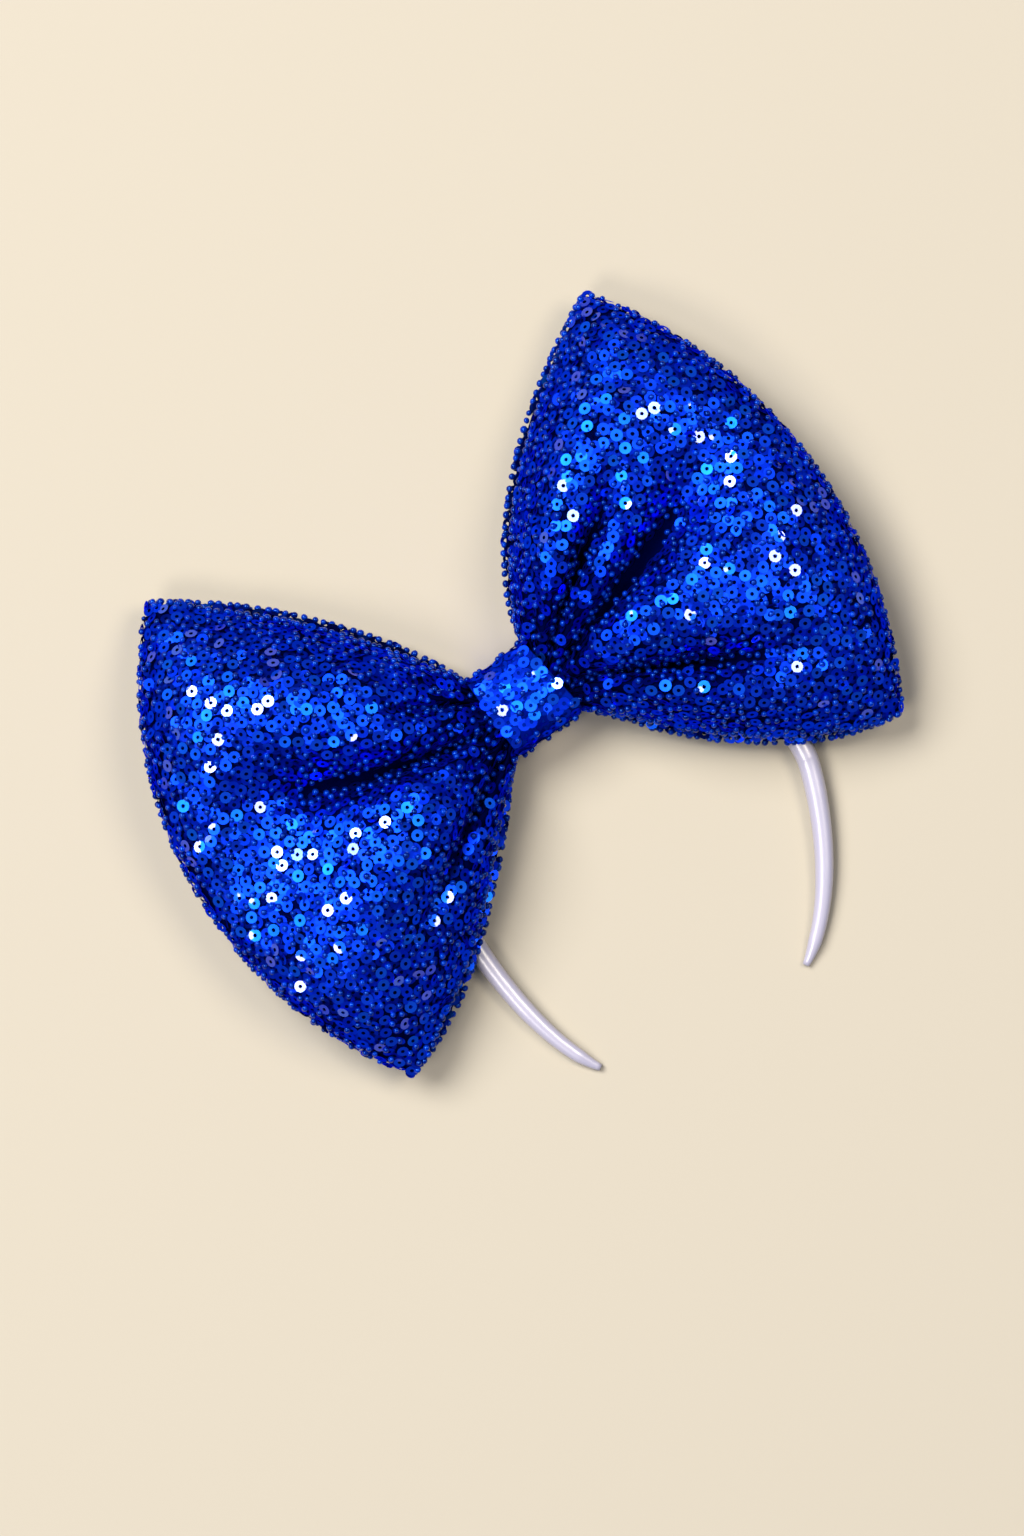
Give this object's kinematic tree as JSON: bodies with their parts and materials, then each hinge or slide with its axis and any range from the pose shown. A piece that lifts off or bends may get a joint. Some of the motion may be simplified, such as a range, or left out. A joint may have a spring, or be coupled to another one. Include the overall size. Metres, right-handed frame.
{
  "type": "bow headband",
  "caption": "Oversized sequin bow gathered by a centre knot onto a slim padded satin headband, lying on its back.",
  "frame": {"origin": "under the middle of the whole piece, on the surface that it lies on", "axes": "+X along the bow towards its right lobe as seen from the front, +Y towards the bow's upper edge and away from the headband's legs, +Z out of the bow's front"},
  "size_m": [0.3002, 0.2736, 0.06],
  "materials": {
    "sequin_cloth": "glossy royal blue cup sequins and seed beads on fine net",
    "satin": "smooth white satin with a soft sheen"
  },
  "bodies": {
    "root": {"bow_loop_left": "sequin_cloth", "bow_loop_right": "sequin_cloth", "centre_knot": "sequin_cloth", "headband": "satin"}
  },
  "joints": []
}
